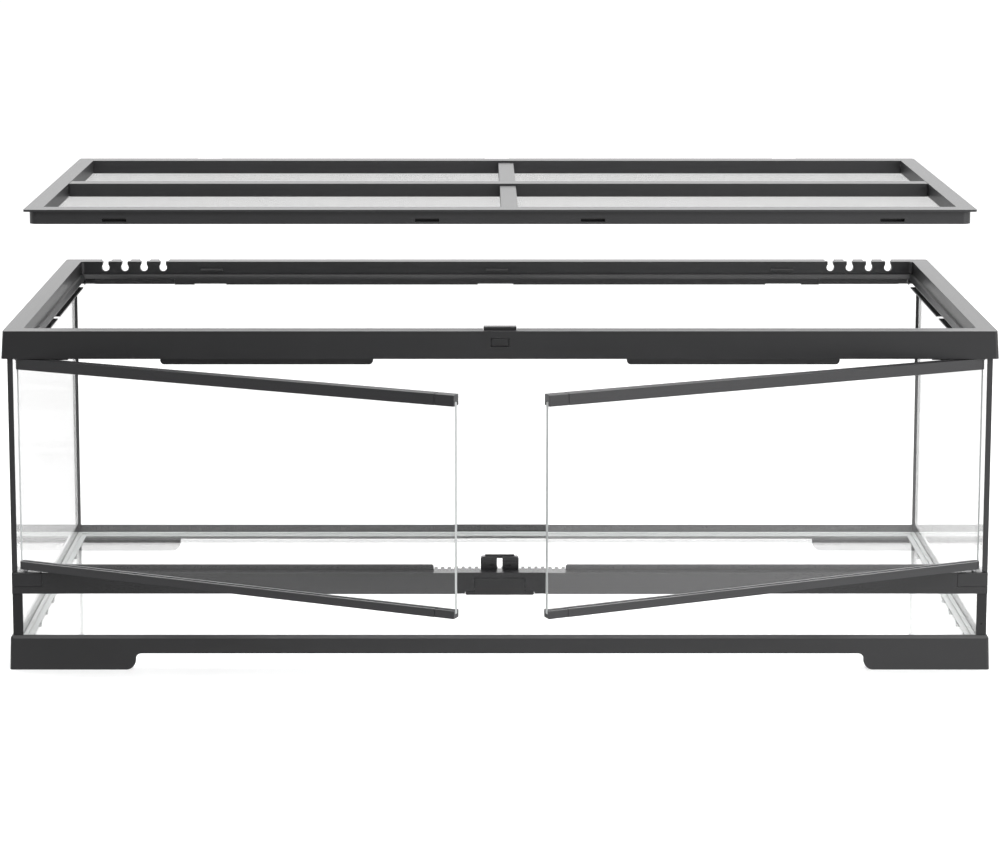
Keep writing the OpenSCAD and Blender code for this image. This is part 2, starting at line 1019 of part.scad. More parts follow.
module lid_frame() {
    color(black) difference() {
        union() {
            rounded_shaft(lid_x, lid_y, flange_r, lid_z, lid_z + flange_t);
            rounded_shaft(lid_body_x, lid_body_y, lid_body_r, lid_bottom, lid_z);
        }
        shaft(lid_open_x, lid_open_y, lid_bottom - over, lid_z + flange_t + over);
        shaft(lid_open_x + screen_tuck, lid_open_y + screen_tuck, lid_bottom - over, lid_bottom + rabbet_h);
        // Reliefs in the back flange, so that it drops past the hooks
        for (share = hook_shares)
            block(
                [share * half_w - hook_w / 2 - over, open_y - hook_reach - fit_gap, lid_z - over],
                [share * half_w + hook_w / 2 + over, lid_y + over, lid_z + flange_t + over]
            );
        // Grip slots in the front face
        for (share = slot_shares)
            block(
                [share * half_w - slot_w / 2, -lid_body_y - over, lid_z - slot_drop - slot_h / 2],
                [share * half_w + slot_w / 2, -lid_body_y + slot_deep, lid_z - slot_drop + slot_h / 2]
            );
    }
}

module lid_long_bar() {
    side = lid_open_x - fit_gap;
    color(black) block([-side, -long_bar_w / 2, bar_z], [side, long_bar_w / 2, lid_z + flange_t]);
}

module cross_bar(from, to) {
    block(
        [cross_bar_x - cross_bar_w / 2, from, bar_z],
        [cross_bar_x + cross_bar_w / 2, to, lid_z + flange_t - cross_bar_sink]
    );
}

module lid_cross_bar_front() {
    color(black) cross_bar(-lid_open_y + fit_gap, -long_bar_w / 2 - fit_gap);
}

module lid_cross_bar_back() {
    color(black) cross_bar(long_bar_w / 2 + fit_gap, lid_open_y - fit_gap);
}

// The screen: a flat net of wires in a frame that sits in the lid's rabbet
module lid_screen() {
    side_x = lid_open_x + screen_tuck - fit_gap;
    side_y = lid_open_y + screen_tuck - fit_gap;
    pitch = screen_gap + screen_wire;
    nx = floor(2 * lid_open_x / pitch);
    ny = floor(2 * lid_open_y / pitch);
    color(steel) difference() {
        shaft(side_x, side_y, lid_bottom, lid_bottom + screen_t);
        for (i = [0:nx - 1], j = [0:ny - 1])
            translate([(i - (nx - 1) / 2) * pitch, (j - (ny - 1) / 2) * pitch, lid_bottom])
                cube([screen_gap, screen_gap, 4 * screen_t], center = true);
    }
}

// Lid latch: a tab that slides back over the flange, pushed by its button

module lid_latch() {
    color(black) {
        block(
            [-latch_w / 2, latch_front, latch_z],
            [latch_w / 2, latch_front + latch_t, cabinet_h + latch_rise]
        );
        translate([0, (front_y + latch_front + over) / 2, 0]) prism_y(latch_front + over - front_y) {
            translate([-button_w / 2, button_z]) square([button_w, button_h - button_r]);
            translate([-button_w / 2 + button_r, button_z]) square([button_w - 2 * button_r, button_h]);
            for (side = [-1, 1])
                translate([side * (button_w / 2 - button_r), button_z + button_h - button_r]) circle(button_r);
        }
    }
}

// Cable slides: windowed plates inside the rim whose foot shows below the ledge

module cable_slide() {
    plate_y = open_y + rim_wall + slide_gap_y;
    pad_z = slide_foot_z + pad_lift;
    difference() {
        union() {
            block(
                [slide_in_x - slide_lap, plate_y, slide_foot_z],
                [slide_out_x + slide_travel, plate_y + slide_t, slide_top]
            );
            block(
                [slide_in_x, lip_y, slide_foot_z],
                [slide_out_x, plate_y + slide_t, slide_foot_z + slide_foot_h]
            );
            for (i = [0:notch_count - 1])
                translate([notch_x(i), lip_y, 0])
                    block([-pad_w / 2, -pad_rise, pad_z], [pad_w / 2, slide_t, pad_z + pad_h]);
        }
        for (i = [0:notch_count - 1])
            translate([notch_x(i), 0, notch_z - notch_d / 2 - window_drop])
                block(
                    [-slide_window / 2, plate_y - over, 0],
                    [slide_window / 2, plate_y + slide_t + over, rim_w]
                );
    }
}

module cable_slide_left() {
    color(black) mirror([1, 0, 0]) cable_slide();
}

module cable_slide_right() {
    color(black) cable_slide();
}

base_frame();
bottom_glass();
back_glass();
left_glass();
right_glass();
front_glass();
floor_seal();
front_seal_left();
front_seal_right();
back_seal_left();
back_seal_right();
edge_trim_left();
edge_trim_right();
top_frame();
top_hinge_left();
top_hinge_right();
sill_rail();
sill_end_left();
sill_end_right();
lock_pin();
door_left_glass();
door_left_top_rail();
door_left_bottom_rail();
door_left_top_striker();
door_left_bottom_striker();
door_left_top_pin();
door_left_bottom_pin();
door_right_glass();
door_right_top_rail();
door_right_bottom_rail();
door_right_top_striker();
door_right_bottom_striker();
door_right_top_pin();
door_right_bottom_pin();
lid_frame();
lid_long_bar();
lid_cross_bar_front();
lid_cross_bar_back();
lid_screen();
lock_lever();
lock_catch();
lid_latch();
cable_slide_left();
cable_slide_right();
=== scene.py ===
"""Looks of a terrarium cabinet: a glass tank in two black moulded frames, with a pair of
glass doors, a vented sill, a lift-off screen lid and closable cable notches.

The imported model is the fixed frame. Every shown solid is a copy of its node with the edges
that a mould or a grinding wheel leaves, and the lid's coarse net gives way to fine wires.
"""

import json
import math

import bmesh
import bpy
from bpy.props import FloatProperty, FloatVectorProperty, PointerProperty, StringProperty
from mathutils import Euler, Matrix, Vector

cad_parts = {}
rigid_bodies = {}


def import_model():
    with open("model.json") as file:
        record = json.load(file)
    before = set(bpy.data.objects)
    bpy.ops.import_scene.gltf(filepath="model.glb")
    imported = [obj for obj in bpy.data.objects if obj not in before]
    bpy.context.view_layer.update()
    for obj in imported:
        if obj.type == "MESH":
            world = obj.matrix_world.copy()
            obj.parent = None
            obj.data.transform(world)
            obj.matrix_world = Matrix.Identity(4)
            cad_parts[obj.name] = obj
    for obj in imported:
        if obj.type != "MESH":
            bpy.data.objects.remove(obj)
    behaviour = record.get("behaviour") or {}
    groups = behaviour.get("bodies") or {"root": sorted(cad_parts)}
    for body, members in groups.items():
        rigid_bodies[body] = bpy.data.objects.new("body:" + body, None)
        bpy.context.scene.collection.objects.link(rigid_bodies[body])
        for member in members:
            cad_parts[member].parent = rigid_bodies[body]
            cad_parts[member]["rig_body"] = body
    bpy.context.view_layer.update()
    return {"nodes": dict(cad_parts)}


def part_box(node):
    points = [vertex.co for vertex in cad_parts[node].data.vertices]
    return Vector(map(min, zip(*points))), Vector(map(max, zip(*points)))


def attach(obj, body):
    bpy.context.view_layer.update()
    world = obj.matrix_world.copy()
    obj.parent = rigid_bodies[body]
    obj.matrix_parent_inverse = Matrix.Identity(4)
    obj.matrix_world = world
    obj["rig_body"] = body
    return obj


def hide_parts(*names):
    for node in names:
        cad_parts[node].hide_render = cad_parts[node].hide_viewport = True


bl_info = {
    "name": "Terrarium cabinet",
    "version": (1, 0, 0),
    "blender": (4, 5, 0),
    "location": "View3D > Sidebar > Terrarium",
    "description": "Dresses the terrarium cabinet's solids with their edges, screen and finishes",
    "category": "Object",
}

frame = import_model()

MM = 0.001

# Edges that meet at more than this count as corners of the shape, not as facets of a curve
CORNER = math.radians(28)
FLAT = math.radians(0.6)
MERGE = 0.002 * MM

# How straight up, level or to the front an edge or a face has to look to count as such
UPRIGHT = 0.9
LEVEL = 0.99
FRONTAL = 0.8
NEAR_CORNER = 4 * MM
LONG_EDGE = 25 * MM

# Segments of a round that shows in outline, of a small round and of a flat cut
FULL_ROUND = 5
SMALL_ROUND = 2
FLAT_CUT = 1
FACE_WEIGHT = 100

# Edge radii of the smaller mouldings, as shares of the frames' edge radius
CRISP = 0.6
SOFT = 0.8
BLUNT = 1.1

# Radii of the long upper front edges
SILL_BROW = 1.1 * MM
RAIL_BROW = 1.6 * MM

# Sizes of the finishes' patterns
CLOUD = 60 * MM
STREAK = 0.8 * MM
HAND_WAVE = 12 * MM
WIPE_MARK = 90 * MM
GRIT = 0.6 * MM
RING = 1.0 * MM

PLASTIC_IOR = 1.53
SILICONE_IOR = 1.41
GLASS_IOR = 1.52

WHITE = (1, 1, 1, 1)
FLOOR_PAINT = (0.8, 0.8, 0.8, 1)

# The camera's focal length and picture width in pixels, and its shift as shares of that width
FOCAL_LENGTH = 3095
PHOTO_WIDTH = 1000
SHIFT = (0.0249, -0.15)

# Name, place, width and depth in metres, and strength in watts
LAMPS = (
    ("lamp above", (0.0, 1.0, 3.0), 4.0, 1.0, 90),
    ("lamp in front", (0.4, -3.2, 3.0), 4.0, 1.6, 70),
    ("lamp right", (2.6, -2.4, 1.5), 1.6, 2.2, 60),
)
LAMP_AIM = Vector((0, 0, 0.2))


def linear(code):
    """An sRGB hex colour as linear RGBA."""
    parts = [int(code.lstrip("#")[i : i + 2], 16) / 255 for i in (0, 2, 4)]
    return (*[c / 12.92 if c <= 0.04045 else ((c + 0.055) / 1.055) ** 2.4 for c in parts], 1.0)


def add(tree, kind, inputs=None, **settings):
    """Adds a node with its settings. inputs holds values, or other nodes' outputs to link."""
    node = tree.nodes.new(kind)
    for name, value in settings.items():
        setattr(node, name, value)
    for socket, value in (inputs or {}).items():
        if isinstance(value, bpy.types.NodeSocket):
            tree.links.new(value, node.inputs[socket])
        else:
            node.inputs[socket].default_value = value
    return node


def new_material(name):
    """An empty material, its node tree and the object coordinates for its patterns."""
    material = bpy.data.materials.new(name)
    material.use_nodes = True
    tree = material.node_tree
    tree.nodes.clear()
    return material, tree, add(tree, "ShaderNodeTexCoord").outputs["Object"]


def noise(tree, place, size, detail=2.0, roughness=0.5):
    """A noise pattern with features of the given size."""
    return add(
        tree,
        "ShaderNodeTexNoise",
        {"Vector": place, "Scale": 1 / size, "Detail": detail, "Roughness": roughness},
    ).outputs[0]


def ramp(tree, value, start, end, low, high):
    """A value that goes from low at start to high at end, and no further."""
    return add(
        tree,
        "ShaderNodeMapRange",
        {"Value": value, "From Min": start, "From Max": end, "To Min": low, "To Max": high},
    ).outputs[0]


def blend(tree, share, low, high):
    """A value between low, where the share is zero, and high, where it is one."""
    return add(tree, "ShaderNodeMix", {0: share, 2: low, 3: high}).outputs[0]


def two_tone(tree, share, low, high):
    """A colour between two sRGB hex colours."""
    mix = add(tree, "ShaderNodeMix", {0: share, 6: linear(low), 7: linear(high)}, data_type="RGBA")
    return mix.outputs[2]


def bump(tree, height, strength, depth):
    """Normals of a shallow relief that follows a pattern."""
    return add(tree, "ShaderNodeBump", {"Height": height, "Strength": strength, "Distance": depth}).outputs[0]


def principled(tree, inputs):
    """Gives a material a principled shader as its surface."""
    shader = add(tree, "ShaderNodeBsdfPrincipled", inputs)
    add(tree, "ShaderNodeOutputMaterial", {"Surface": shader.outputs[0]})


def mirror_image(tree):
    """One where a ray has come by way of a reflection, also one seen through glass."""
    depth = add(tree, "ShaderNodeLightPath").outputs["Glossy Depth"]
    return add(tree, "ShaderNodeMath", {0: depth, 1: 0.5}, operation="GREATER_THAN").outputs[0]


def by_ray(tree, light, mirrored, seen):
    """A strength for light on the object, one for mirror images and one for what is seen
    directly or through glass. Each is a number or a socket."""
    path = add(tree, "ShaderNodeLightPath").outputs
    rays = {0: path["Is Camera Ray"], 1: path["Is Transmission Ray"]}
    view = add(tree, "ShaderNodeMath", rays, operation="MAXIMUM").outputs[0]
    return blend(tree, mirror_image(tree), blend(tree, view, light, seen), mirrored)


def moulded_plastic(name, low, high, roughness, grain, relief):
    """Black plastic from a spark-eroded mould: a faint cloud of two near colours, uneven gloss
    and a fine grain whose size is given in millimetres. It looks satin from the front and pale
    at a grazing angle."""
    material, tree, place = new_material(name)
    cloud = noise(tree, place, CLOUD, detail=3.0)
    texture = noise(tree, place, grain * MM, roughness=0.6)
    principled(
        tree,
        {
            "Base Color": two_tone(tree, cloud, low, high),
            "Roughness": ramp(tree, texture, 0.3, 0.7, roughness - 0.04, roughness + 0.06),
            "Normal": bump(tree, texture, relief, 0.05 * MM),
            "IOR": PLASTIC_IOR,
        },
    )
    return material


def extruded_plastic(name, low, high, roughness):
    """Black PVC profile: drawn through a die, so its gloss runs in long streaks along X."""
    material, tree, place = new_material(name)
    drawn = add(tree, "ShaderNodeMapping", {"Vector": place, "Scale": (0.02, 1.0, 1.0)})
    streaks = noise(tree, drawn.outputs[0], STREAK)
    principled(
        tree,
        {
            "Base Color": two_tone(tree, streaks, low, high),
            "Roughness": ramp(tree, streaks, 0.0, 1.0, roughness - 0.05, roughness + 0.07),
            "IOR": PLASTIC_IOR,
        },
    )
    return material


def silicone_rubber(name, colour):
    """Black silicone sealant: smoothed by hand, so it is glossy with soft waves."""
    material, tree, place = new_material(name)
    waves = noise(tree, place, HAND_WAVE)
    principled(
        tree,
        {
            "Base Color": linear(colour),
            "Roughness": ramp(tree, waves, 0.0, 1.0, 0.22, 0.42),
            "Normal": bump(tree, waves, 0.3, 0.5 * MM),
            "IOR": SILICONE_IOR,
        },
    )
    return material


def clear_silicone(name, colour):
    """Clear silicone sealant: translucent and slightly milky, with the same hand-made waves."""
    material, tree, place = new_material(name)
    waves = noise(tree, place, HAND_WAVE)
    principled(
        tree,
        {
            "Base Color": linear(colour),
            "Roughness": ramp(tree, waves, 0.0, 1.0, 0.3, 0.45),
            "IOR": SILICONE_IOR,
            "Transmission Weight": 0.5,
        },
    )
    return material


def float_glass(name, tint):
    """Float glass: clear, flat and mirror smooth. Lamps pass it, so it casts no dark shadow."""
    material, tree, place = new_material(name)
    wipe = noise(tree, place, WIPE_MARK, detail=4.0)
    glass = add(
        tree,
        "ShaderNodeBsdfPrincipled",
        {
            "Base Color": linear(tint),
            "Roughness": ramp(tree, wipe, 0.55, 1.0, 0.0, 0.005),
            "IOR": GLASS_IOR,
            "Transmission Weight": 1.0,
        },
    )
    clear = add(tree, "ShaderNodeBsdfTransparent", {"Color": linear("#f6f7f7")})
    shadow = add(tree, "ShaderNodeLightPath").outputs["Is Shadow Ray"]
    either = add(tree, "ShaderNodeMixShader", {0: shadow, 1: glass.outputs[0], 2: clear.outputs[0]})
    add(tree, "ShaderNodeOutputMaterial", {"Surface": either.outputs[0]})
    return material


def ground_edge(name, colour):
    """The ground edge of a pane: glass under a frosted skin that catches the light."""
    material, tree, place = new_material(name)
    grit = noise(tree, place, GRIT)
    principled(
        tree,
        {
            "Base Color": linear(colour),
            "Roughness": ramp(tree, grit, 0.0, 1.0, 0.25, 0.45),
            "IOR": GLASS_IOR,
            "Transmission Weight": 0.1,
        },
    )
    return material


def drawn_steel(name, colour, roughness):
    """Stainless steel wire or pin: drawn, so its gloss varies in rings a millimetre apart."""
    material, tree, place = new_material(name)
    rings = noise(tree, place, RING, detail=1.0)
    principled(
        tree,
        {
            "Base Color": linear(colour),
            "Metallic": 1.0,
            "Roughness": ramp(tree, rings, 0.0, 1.0, roughness - 0.05, roughness + 0.08),
        },
    )
    return material


def merged(node):
    """A bmesh of a CAD node with its triangles joined to whole faces."""
    bm = bmesh.new()
    bm.from_mesh(frame["nodes"][node].data)
    bmesh.ops.remove_doubles(bm, verts=bm.verts, dist=MERGE)
    bmesh.ops.dissolve_limit(bm, angle_limit=FLAT, verts=bm.verts, edges=bm.edges)
    return bm


def corners(bm):
    """The edges where two faces meet at a corner of the shape."""
    return [e for e in bm.edges if e.is_manifold and e.calc_face_angle() > CORNER]


def round_edges(bm, edges, radius, segments, material=-1):
    """Rounds edges, or cuts them flat with one segment. A material of -1 keeps the faces' own."""
    bmesh.ops.bevel(
        bm,
        geom=edges,
        offset=radius,
        offset_type="OFFSET",
        affect="EDGES",
        segments=segments,
        profile=0.5,
        clamp_overlap=True,
        material=material,
    )


def piece_from(bm, name, node, slot, *materials):
    """Makes a bmesh a piece that stands for a CAD node and rides on its body."""
    mesh = bpy.data.meshes.new(name)
    bm.to_mesh(mesh)
    bm.free()
    for material in materials:
        mesh.materials.append(material)
    mesh.shade_smooth()
    piece = bpy.data.objects.new(name, mesh)
    bpy.context.scene.collection.objects.link(piece)
    weigh = piece.modifiers.new("Even faces", "WEIGHTED_NORMAL")
    weigh.weight = FACE_WEIGHT
    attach(piece, frame["nodes"][node]["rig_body"])
    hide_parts(node)
    return piece


def upright_corners(bm):
    """The upright edges at the four outer corners of a frame."""
    reach = [max(v.co[axis] for v in bm.verts) for axis in (0, 1)]
    return [
        e
        for e in bm.edges
        if all(abs(v.co[axis]) > reach[axis] - NEAR_CORNER for v in e.verts for axis in (0, 1))
        and abs(e.verts[0].co.z - e.verts[1].co.z) > UPRIGHT * e.calc_length()
    ]


def brow_edges(bm):
    """The long edges between a top face and a face that looks to the front."""
    return [
        e
        for e in bm.edges
        if e.is_convex
        and e.calc_length() > LONG_EDGE
        and max(f.normal.z for f in e.link_faces) > LEVEL
        and min(f.normal.y for f in e.link_faces) < -FRONTAL
    ]


def moulding(node, slot, material, radius, corner=0.0, brow=0.0):
    """A copy of a CAD node whose corners are rounded as a mould rounds them. corner is the larger
    radius of a frame's four upright corners, and brow that of the long upper front edges."""
    bm = merged(node)
    if corner:
        round_edges(bm, upright_corners(bm), corner, FULL_ROUND)
    if brow:
        round_edges(bm, brow_edges(bm), brow, FULL_ROUND)
    round_edges(bm, corners(bm), radius, SMALL_ROUND)
    return piece_from(bm, node.replace("_", "-"), node, slot, material)


def pane(node, slot, glass, edge, arris):
    """A copy of a glass node with ground edges and a narrow arris along its two faces."""
    bm = merged(node)
    for face in bm.faces:
        face.material_index = 1
    for face in sorted(bm.faces, key=lambda f: f.calc_area())[-2:]:
        face.material_index = 0
    round_edges(bm, corners(bm), arris, FLAT_CUT, material=1)
    return piece_from(bm, node.replace("_", "-"), node, slot, glass, edge)


class TerrariumPlastic(bpy.types.PropertyGroup):
    """Colours and edges of the black plastic."""

    low: StringProperty(
        name="Black", description="Darker colour of the moulded frames, as sRGB hex", default="#151516"
    )
    high: StringProperty(
        name="Grey", description="Lighter colour of the moulded frames, as sRGB hex", default="#1d1d1f"
    )
    radius: FloatProperty(
        name="Edge radius",
        description="Radius of the moulded corners",
        default=0.45 * MM,
        min=0.05 * MM,
        max=1.2 * MM,
        unit="LENGTH",
    )
    corner: FloatProperty(
        name="Corner radius",
        description="Radius of the frames' upright corners",
        default=3 * MM,
        min=1 * MM,
        max=4 * MM,
        unit="LENGTH",
    )


class TerrariumGlass(bpy.types.PropertyGroup):
    """Colours and edges of the panes."""

    tint: StringProperty(
        name="Tint", description="Colour of light through a pane, as sRGB hex", default="#fcfcfc"
    )
    edge: StringProperty(
        name="Edge", description="Colour of the ground edges, as sRGB hex", default="#b3b6b6"
    )
    arris: FloatProperty(
        name="Arris",
        description="Width of the bevel along a pane's edges",
        default=0.5 * MM,
        min=0.1 * MM,
        max=1.5 * MM,
        unit="LENGTH",
    )


class TerrariumScreen(bpy.types.PropertyGroup):
    """Sizes of the lid's wire screen."""

    pitch: FloatProperty(
        name="Pitch",
        description="Spacing of the wires",
        default=1.9 * MM,
        min=1.0 * MM,
        max=6.0 * MM,
        unit="LENGTH",
    )
    wire: FloatProperty(
        name="Wire",
        description="Diameter of the wires",
        default=0.13 * MM,
        min=0.1 * MM,
        max=1.0 * MM,
        unit="LENGTH",
    )
    colour: StringProperty(
        name="Wire colour", description="Colour of the steel, as sRGB hex", default="#8e8e8d"
    )


class TerrariumStudio(bpy.types.PropertyGroup):
    """Camera, floor and lamps."""

    eye: FloatVectorProperty(
        name="Camera",
        description="Place of the camera",
        default=(-0.0226, -2.9846, 0.7851),
        size=3,
        subtype="TRANSLATION",
        unit="LENGTH",
    )
    tilt: FloatProperty(
        name="Tilt",
        description="How far the camera looks down",
        default=math.radians(8.687),
        min=0.0,
        max=math.pi / 2,
        subtype="ANGLE",
    )
    floor: FloatProperty(
        name="Floor", description="Width of the floor", default=60.0, min=4.0, max=200.0, unit="LENGTH"
    )
    ambient: FloatProperty(
        name="Ambient", description="Strength of the light from all sides", default=0.5, min=0.0, max=2.0
    )


class TERRARIUM_OT_camera(bpy.types.Operator):
    """Places the camera at the photograph's viewing angle"""

    bl_idname = "terrarium.camera"
    bl_label = "Camera"

    def execute(self, context):
        studio = context.scene.terrarium_studio
        camera = bpy.data.objects.new("camera", bpy.data.cameras.new("camera"))
        context.scene.collection.objects.link(camera)
        camera.location = studio.eye
        camera.rotation_euler = Euler((math.pi / 2 - studio.tilt, 0, 0))
        camera.data.lens = FOCAL_LENGTH / PHOTO_WIDTH * camera.data.sensor_width
        camera.data.shift_x, camera.data.shift_y = SHIFT
        camera.data.clip_end = 100
        context.scene.camera = camera
        return {"FINISHED"}


class TERRARIUM_OT_frames(bpy.types.Operator):
    """Makes the base frame, the top frame and its hinge blocks"""

    bl_idname = "terrarium.frames"
    bl_label = "Base and top frames"

    def execute(self, context):
        plastic = context.scene.terrarium_plastic
        abs_black = moulded_plastic("moulded ABS, frames", plastic.low, plastic.high, 0.36, 0.7, 0.15)
        for node in ("base_frame", "top_frame"):
            moulding(node, "frame_plastic", abs_black, plastic.radius, plastic.corner)
        for node in ("top_hinge_left", "top_hinge_right"):
            moulding(node, "frame_plastic", abs_black, plastic.radius)
        return {"FINISHED"}


class TERRARIUM_OT_sill(bpy.types.Operator):
    """Makes the door sill with its vent comb and the hinge blocks at its ends"""

    bl_idname = "terrarium.sill"
    bl_label = "Sill"

    def execute(self, context):
        plastic = context.scene.terrarium_plastic
        abs_black = moulded_plastic("moulded ABS, sill", plastic.low, plastic.high, 0.28, 0.6, 0.05)
        for node in ("sill_rail", "sill_end_left", "sill_end_right"):
            moulding(node, "sill_plastic", abs_black, CRISP * plastic.radius, brow=SILL_BROW)
        return {"FINISHED"}


class TERRARIUM_OT_tank(bpy.types.Operator):
    """Makes the tank's panes"""

    bl_idname = "terrarium.tank"
    bl_label = "Tank panes"

    def execute(self, context):
        glass = context.scene.terrarium_glass
        clear = float_glass("float glass, tank", glass.tint)
        edge = ground_edge("ground edge, tank", glass.edge)
        for node in ("bottom_glass", "back_glass", "left_glass", "right_glass", "front_glass"):
            pane(node, "tank_glass", clear, edge, glass.arris)
        return {"FINISHED"}


class TERRARIUM_OT_seals(bpy.types.Operator):
    """Makes the silicone seams and the strips on the side panes' front edges"""

    bl_idname = "terrarium.seals"
    bl_label = "Seals and edge trims"

    def execute(self, context):
        plastic = context.scene.terrarium_plastic
        silicone = silicone_rubber("black silicone", "#1b1b1c")
        for node in ("front_seal_left", "front_seal_right", "back_seal_left", "back_seal_right"):
            moulding(node, "silicone", silicone, SOFT * plastic.radius)
        moulding("floor_seal", "clear_silicone", clear_silicone("clear silicone", "#e9ebea"), 0.3 * MM)
        pvc = moulded_plastic("soft PVC, edge trims", "#1c1c1d", "#252527", 0.42, 0.9, 0.1)
        for node in ("edge_trim_left", "edge_trim_right"):
            moulding(node, "edge_trim", pvc, plastic.radius)
        return {"FINISHED"}


class TERRARIUM_OT_doors(bpy.types.Operator):
    """Makes both doors: glass, rails, striker caps and hinge pins"""

    bl_idname = "terrarium.doors"
    bl_label = "Doors"

    def execute(self, context):
        glass = context.scene.terrarium_glass
        plastic = context.scene.terrarium_plastic
        clear = float_glass("float glass, doors", glass.tint)
        edge = ground_edge("ground edge, doors", glass.edge)
        pvc = extruded_plastic("extruded PVC, door rails", "#252526", "#2e2e30", 0.33)
        steel = drawn_steel("stainless steel, hinge pins", "#b9b9bb", 0.25)
        for side in ("left", "right"):
            pane(f"door_{side}_glass", "door_glass", clear, edge, glass.arris)
            for level in ("top", "bottom"):
                moulding(f"door_{side}_{level}_rail", "rail_plastic", pvc, plastic.radius, brow=RAIL_BROW)
                moulding(f"door_{side}_{level}_striker", "rail_plastic", pvc, plastic.radius)
                moulding(f"door_{side}_{level}_pin", "pin_steel", steel, 0.4 * MM)
        return {"FINISHED"}


class TERRARIUM_OT_lid(bpy.types.Operator):
    """Makes the lid's frame and its three bars"""

    bl_idname = "terrarium.lid"
    bl_label = "Lid frame and bars"

    def execute(self, context):
        plastic = context.scene.terrarium_plastic
        abs_black = moulded_plastic("moulded ABS, lid", "#202021", "#29292b", 0.38, 0.7, 0.15)
        for node in ("lid_frame", "lid_long_bar", "lid_cross_bar_front", "lid_cross_bar_back"):
            moulding(node, "lid_plastic", abs_black, plastic.radius)
        return {"FINISHED"}


class TERRARIUM_OT_screen(bpy.types.Operator):
    """Makes the lid's screen: two crossing layers of fine steel wire"""

    bl_idname = "terrarium.screen"
    bl_label = "Lid screen"

    def execute(self, context):
        screen = context.scene.terrarium_screen
        low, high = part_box("lid_screen")
        steel = drawn_steel("stainless steel, screen wire", screen.colour, 0.4)
        bm = bmesh.new()
        for axis, level in ((0, low.z + 0.5 * screen.wire), (1, low.z + 1.5 * screen.wire)):
            across = 1 - axis
            turn = Euler((0, math.pi / 2, 0) if axis == 0 else (math.pi / 2, 0, 0)).to_matrix()
            count = int((high[across] - low[across] - screen.wire) / screen.pitch)
            start = (low[across] + high[across] - (count - 1) * screen.pitch) / 2
            for i in range(count):
                wire = bmesh.ops.create_cone(
                    bm,
                    cap_ends=True,
                    segments=3,
                    radius1=screen.wire / 2,
                    radius2=screen.wire / 2,
                    depth=high[axis] - low[axis],
                )["verts"]
                bmesh.ops.rotate(bm, verts=wire, matrix=turn)
                place = Vector((0, 0, level))
                place[axis] = (low[axis] + high[axis]) / 2
                place[across] = start + i * screen.pitch
                bmesh.ops.translate(bm, verts=wire, vec=place)
        piece_from(bm, "lid-screen", "lid_screen", "screen_wire", steel)
        return {"FINISHED"}


class TERRARIUM_OT_lock(bpy.types.Operator):
    """Makes the door lock: lever, catch and pin"""

    bl_idname = "terrarium.lock"
    bl_label = "Door lock"

    def execute(self, context):
        plastic = context.scene.terrarium_plastic
        acetal = moulded_plastic("moulded acetal, lock", "#111112", "#18181a", 0.32, 0.5, 0.1)
        moulding("lock_lever", "lock_plastic", acetal, CRISP * plastic.radius)
        moulding("lock_catch", "lock_plastic", acetal, BLUNT * plastic.radius)
        steel = drawn_steel("stainless steel, lock pin", "#b9b9bb", 0.25)
        moulding("lock_pin", "pin_steel", steel, 0.3 * MM)
        return {"FINISHED"}


class TERRARIUM_OT_slides(bpy.types.Operator):
    """Makes the lid latch and the two cable slides"""

    bl_idname = "terrarium.slides"
    bl_label = "Latch and cable slides"

    def execute(self, context):
        plastic = context.scene.terrarium_plastic
        acetal = moulded_plastic("moulded acetal, slides", "#131314", "#1a1a1c", 0.34, 0.5, 0.1)
        for node in ("lid_latch", "cable_slide_left", "cable_slide_right"):
            moulding(node, "slide_plastic", acetal, SOFT * plastic.radius)
        return {"FINISHED"}


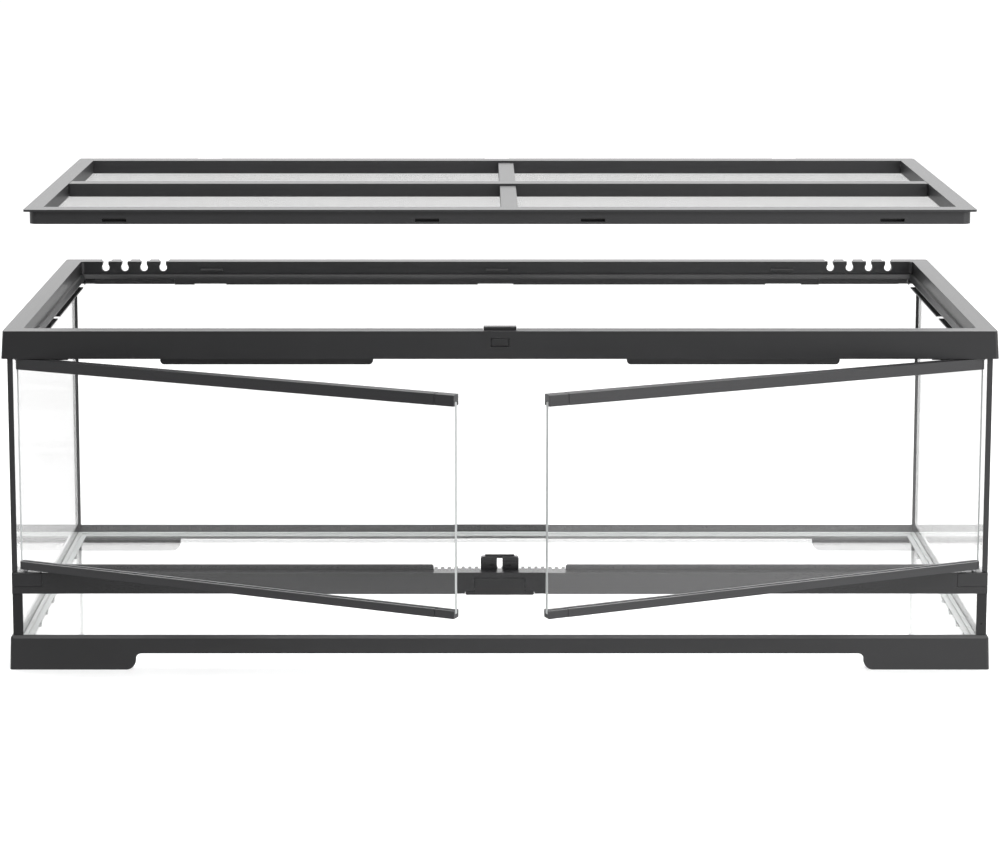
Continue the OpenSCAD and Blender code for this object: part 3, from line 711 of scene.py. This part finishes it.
class TERRARIUM_OT_studio(bpy.types.Operator):
    """Lays the floor and sets the lamps and the white surroundings"""

    bl_idname = "terrarium.studio"
    bl_label = "Studio"

    def execute(self, context):
        studio = context.scene.terrarium_studio
        self.lay_floor(context, studio)
        self.surround(context, studio)
        for name, place, width, depth, watts in LAMPS:
            light = bpy.data.lights.new(name, "AREA")
            light.shape = "RECTANGLE"
            light.size = width
            light.size_y = depth
            light.energy = watts
            lamp = bpy.data.objects.new(name, light)
            context.scene.collection.objects.link(lamp)
            lamp.location = place
            lamp.rotation_euler = (LAMP_AIM - Vector(place)).to_track_quat("-Z", "Y").to_euler()
        context.scene.view_settings.view_transform = "Standard"
        return {"FINISHED"}

    def lay_floor(self, context, studio):
        """Lays the floor: painted, so that it takes the shadow, and glowing where it is seen, so that it ends
        in white. In mirror images it glows as a painted reflection of the room's light, weaker to the left
        and far in front."""
        bm = bmesh.new()
        bmesh.ops.create_grid(bm, x_segments=1, y_segments=1, size=studio.floor / 2)
        mesh = bpy.data.meshes.new("floor")
        bm.to_mesh(mesh)
        bm.free()
        material, tree, spot = new_material("painted floor")
        paint = add(tree, "ShaderNodeBsdfDiffuse", {"Color": FLOOR_PAINT})
        reach = add(tree, "ShaderNodeVectorMath", {0: spot}, operation="LENGTH").outputs["Value"]
        seen = ramp(tree, reach, 1.0, 5.0, 0.38, 0.64)
        glow = add(tree, "ShaderNodeEmission", {"Color": WHITE, "Strength": by_ray(tree, 0.0, 0.0, seen)})
        both = add(tree, "ShaderNodeAddShader", {0: paint.outputs[0], 1: glow.outputs[0]})
        along, away, _ = add(tree, "ShaderNodeSeparateXYZ", {0: spot}).outputs
        # Painted reflection: a glow that only mirror images show. It is brighter to the right and near the
        # cabinet, and stands in for the room's light on the cabinet's faces.
        near = ramp(tree, along, -0.5, 0.5, 0.7, 1.45)
        far = ramp(tree, along, -0.5, 0.5, 0.2, 1.15)
        front = blend(tree, ramp(tree, away, -1.2, -0.6, 0.0, 1.0), far, near)
        painted_reflection_strength = blend(tree, ramp(tree, away, -0.25, 0.25, 0.0, 1.0), front, 1.0)
        painted_reflection = add(tree, "ShaderNodeEmission", {"Color": WHITE, "Strength": painted_reflection_strength})
        surface = add(
            tree, "ShaderNodeMixShader", {0: mirror_image(tree), 1: both.outputs[0], 2: painted_reflection.outputs[0]}
        )
        add(tree, "ShaderNodeOutputMaterial", {"Surface": surface.outputs[0]})
        mesh.materials.append(material)
        floor = bpy.data.objects.new("floor", mesh)
        context.scene.collection.objects.link(floor)

    def surround(self, context, studio):
        """Makes the surroundings: white where they are seen, and brighter behind the cabinet than
        in front of it in mirror images."""
        world = context.scene.world or bpy.data.worlds.new("surroundings")
        context.scene.world = world
        world.use_nodes = True
        tree = world.node_tree
        tree.nodes.clear()
        way = add(tree, "ShaderNodeTexCoord").outputs["Generated"]
        away = add(tree, "ShaderNodeSeparateXYZ", {0: way}).outputs["Y"]
        mirrored = ramp(tree, away, -0.3, 0.5, 0.6, 1.9)
        strength = by_ray(tree, studio.ambient, mirrored, 1.0)
        shader = add(tree, "ShaderNodeBackground", {"Color": WHITE, "Strength": strength})
        add(tree, "ShaderNodeOutputWorld", {"Surface": shader.outputs[0]})


GROUPS = {
    "terrarium_plastic": TerrariumPlastic,
    "terrarium_glass": TerrariumGlass,
    "terrarium_screen": TerrariumScreen,
    "terrarium_studio": TerrariumStudio,
}
OPERATORS = (
    TERRARIUM_OT_camera,
    TERRARIUM_OT_frames,
    TERRARIUM_OT_sill,
    TERRARIUM_OT_tank,
    TERRARIUM_OT_seals,
    TERRARIUM_OT_doors,
    TERRARIUM_OT_lid,
    TERRARIUM_OT_screen,
    TERRARIUM_OT_lock,
    TERRARIUM_OT_slides,
    TERRARIUM_OT_studio,
)


class TERRARIUM_PT_panel(bpy.types.Panel):
    """Lists the cabinet's sizes, colours and pieces"""

    bl_idname = "TERRARIUM_PT_panel"
    bl_label = "Terrarium cabinet"
    bl_space_type = "VIEW_3D"
    bl_region_type = "UI"
    bl_category = "Terrarium"

    def draw(self, context):
        for name, group in GROUPS.items():
            box = self.layout.box()
            for prop in group.__annotations__:
                box.prop(getattr(context.scene, name), prop)
        for operator in OPERATORS:
            self.layout.operator(operator.bl_idname)


def register():
    for name, group in GROUPS.items():
        bpy.utils.register_class(group)
        setattr(bpy.types.Scene, name, PointerProperty(type=group))
    for cls in (*OPERATORS, TERRARIUM_PT_panel):
        bpy.utils.register_class(cls)


def unregister():
    for cls in (TERRARIUM_PT_panel, *reversed(OPERATORS)):
        bpy.utils.unregister_class(cls)
    for name, group in reversed(GROUPS.items()):
        delattr(bpy.types.Scene, name)
        bpy.utils.unregister_class(group)


def main():
    register()
    for operator in OPERATORS:
        group, name = operator.bl_idname.split(".")
        getattr(getattr(bpy.ops, group), name)()


if __name__ == "__main__":
    main()
